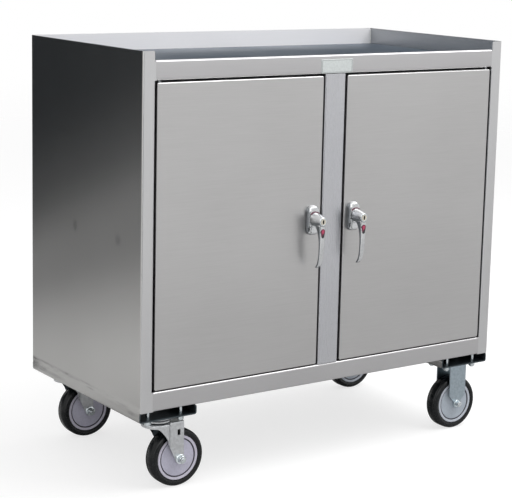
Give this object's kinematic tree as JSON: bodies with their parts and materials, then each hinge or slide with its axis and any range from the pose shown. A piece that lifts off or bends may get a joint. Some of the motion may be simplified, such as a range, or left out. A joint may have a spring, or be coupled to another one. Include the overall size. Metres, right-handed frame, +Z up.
{
  "type": "mobile workbench",
  "caption": "Stainless steel mobile workbench: a closed cabinet with a recessed rimmed top, hinged doors with locking lever handles, and swivel and rigid casters.",
  "frame": {"origin": "on the floor, under the middle of the outline at rest, which runs from the lock plugs to the back", "axes": "+X along the width to the right as seen from the doors, +Y from the doors to the back, +Z up"},
  "size_m": [0.9144, 0.5046, 0.8826],
  "materials": {
    "side_steel": "brushed stainless sheet, vertical grain",
    "door_steel": "brushed stainless sheet, fine grain, satin",
    "top_steel": "brushed stainless sheet, grain along the length",
    "frame_steel": "brushed stainless sheet, satin",
    "inner_steel": "brushed stainless sheet, dull",
    "dark_steel": "oiled plain steel",
    "zinc_plate": "zinc plated pressed steel, satin",
    "bright_fasteners": "bright zinc plated fasteners",
    "bright_casting": "polished die casting",
    "lock_brass": "nickelled brass lock plug",
    "hub_plastic": "moulded lilac grey core",
    "tire_rubber": "black rubber tread"
  },
  "bodies": {
    "carcass": {"left_side_panel": "side_steel", "right_side_panel": "side_steel", "back_panel": "inner_steel", "work_top": "top_steel", "bottom_rail": "frame_steel", "cabinet_floor": "inner_steel", "centre_post": "frame_steel", "middle_shelf": "inner_steel", "left_shelf_cleat": "inner_steel", "right_shelf_cleat": "inner_steel", "left_caster_channel": "inner_steel", "right_caster_channel": "inner_steel", "left_lower_hinge_pin": "dark_steel", "left_upper_hinge_pin": "dark_steel", "right_lower_hinge_pin": "dark_steel", "right_upper_hinge_pin": "dark_steel", "front_left_caster_plate": "zinc_plate", "rear_left_caster_plate": "zinc_plate", "front_left_kingpin": "zinc_plate", "rear_left_kingpin": "zinc_plate", "front_right_fork": "zinc_plate", "rear_right_fork": "zinc_plate", "front_right_axle_bolt": "bright_fasteners", "front_right_axle_nut": "bright_fasteners", "rear_right_axle_bolt": "bright_fasteners", "rear_right_axle_nut": "bright_fasteners"},
    "left_door": {"left_door_panel": "door_steel", "left_door_stiffener": "inner_steel", "left_lower_hinge_bracket": "dark_steel", "left_upper_hinge_bracket": "dark_steel", "left_handle_base": "bright_casting"},
    "left_handle": {"left_handle_lever": "bright_casting", "left_latch_cam": "bright_fasteners", "left_spindle_nut": "bright_fasteners"},
    "left_lock": {"left_lock_plug": "lock_brass"},
    "right_door": {"right_door_panel": "door_steel", "right_door_stiffener": "inner_steel", "right_lower_hinge_bracket": "dark_steel", "right_upper_hinge_bracket": "dark_steel", "right_handle_base": "bright_casting"},
    "right_handle": {"right_handle_lever": "bright_casting", "right_latch_cam": "bright_fasteners", "right_spindle_nut": "bright_fasteners"},
    "right_lock": {"right_lock_plug": "lock_brass"},
    "front_left_swivel": {"front_left_yoke": "zinc_plate", "front_left_ball_ring": "dark_steel", "front_left_axle_bolt": "bright_fasteners", "front_left_axle_nut": "bright_fasteners"},
    "rear_left_swivel": {"rear_left_yoke": "zinc_plate", "rear_left_ball_ring": "dark_steel", "rear_left_axle_bolt": "bright_fasteners", "rear_left_axle_nut": "bright_fasteners"},
    "front_left_wheel": {"front_left_hub": "hub_plastic", "front_left_tire": "tire_rubber"},
    "front_right_wheel": {"front_right_hub": "hub_plastic", "front_right_tire": "tire_rubber"},
    "rear_left_wheel": {"rear_left_hub": "hub_plastic", "rear_left_tire": "tire_rubber"},
    "rear_right_wheel": {"rear_right_hub": "hub_plastic", "rear_right_tire": "tire_rubber"}
  },
  "joints": [
    {"name": "left_door_hinge", "type": "hinge", "parent": "carcass", "child": "left_door", "pos_m": [-0.4177, -0.2047, 0.5195], "axis": [0, 0, -1], "range_deg": [0, 110]},
    {"name": "left_handle_turn", "type": "hinge", "parent": "left_door", "child": "left_handle", "pos_m": [-0.053, -0.2117, 0.5284], "axis": [0, 1, 0], "range_deg": [0, 90]},
    {"name": "left_lock_turn", "type": "hinge", "parent": "left_handle", "child": "left_lock", "pos_m": [-0.053, -0.2517, 0.5284], "axis": [0, 1, 0], "range_deg": [0, 90]},
    {"name": "right_door_hinge", "type": "hinge", "parent": "carcass", "child": "right_door", "pos_m": [0.4177, -0.2047, 0.5195], "axis": [0, 0, 1], "range_deg": [0, 110]},
    {"name": "right_handle_turn", "type": "hinge", "parent": "right_door", "child": "right_handle", "pos_m": [0.053, -0.2117, 0.5284], "axis": [0, -1, 0], "range_deg": [0, 90]},
    {"name": "right_lock_turn", "type": "hinge", "parent": "right_handle", "child": "right_lock", "pos_m": [0.053, -0.2517, 0.5284], "axis": [0, -1, 0], "range_deg": [0, 90]},
    {"name": "front_left_swivel_turn", "type": "hinge", "parent": "carcass", "child": "front_left_swivel", "pos_m": [-0.3907, -0.1677, 0.154], "axis": [0, 0, 1], "continuous": true},
    {"name": "rear_left_swivel_turn", "type": "hinge", "parent": "carcass", "child": "rear_left_swivel", "pos_m": [-0.3907, 0.2085, 0.154], "axis": [0, 0, 1], "continuous": true},
    {"name": "front_left_wheel_spin", "type": "hinge", "parent": "front_left_swivel", "child": "front_left_wheel", "pos_m": [-0.3507, -0.1677, 0.06], "axis": [0, 1, 0], "continuous": true},
    {"name": "front_right_wheel_spin", "type": "hinge", "parent": "carcass", "child": "front_right_wheel", "pos_m": [0.3907, -0.1677, 0.06], "axis": [0, 1, 0], "continuous": true},
    {"name": "rear_left_wheel_spin", "type": "hinge", "parent": "rear_left_swivel", "child": "rear_left_wheel", "pos_m": [-0.3507, 0.2085, 0.06], "axis": [0, 1, 0], "continuous": true},
    {"name": "rear_right_wheel_spin", "type": "hinge", "parent": "carcass", "child": "rear_right_wheel", "pos_m": [0.3907, 0.2085, 0.06], "axis": [0, 1, 0], "continuous": true}
  ]
}
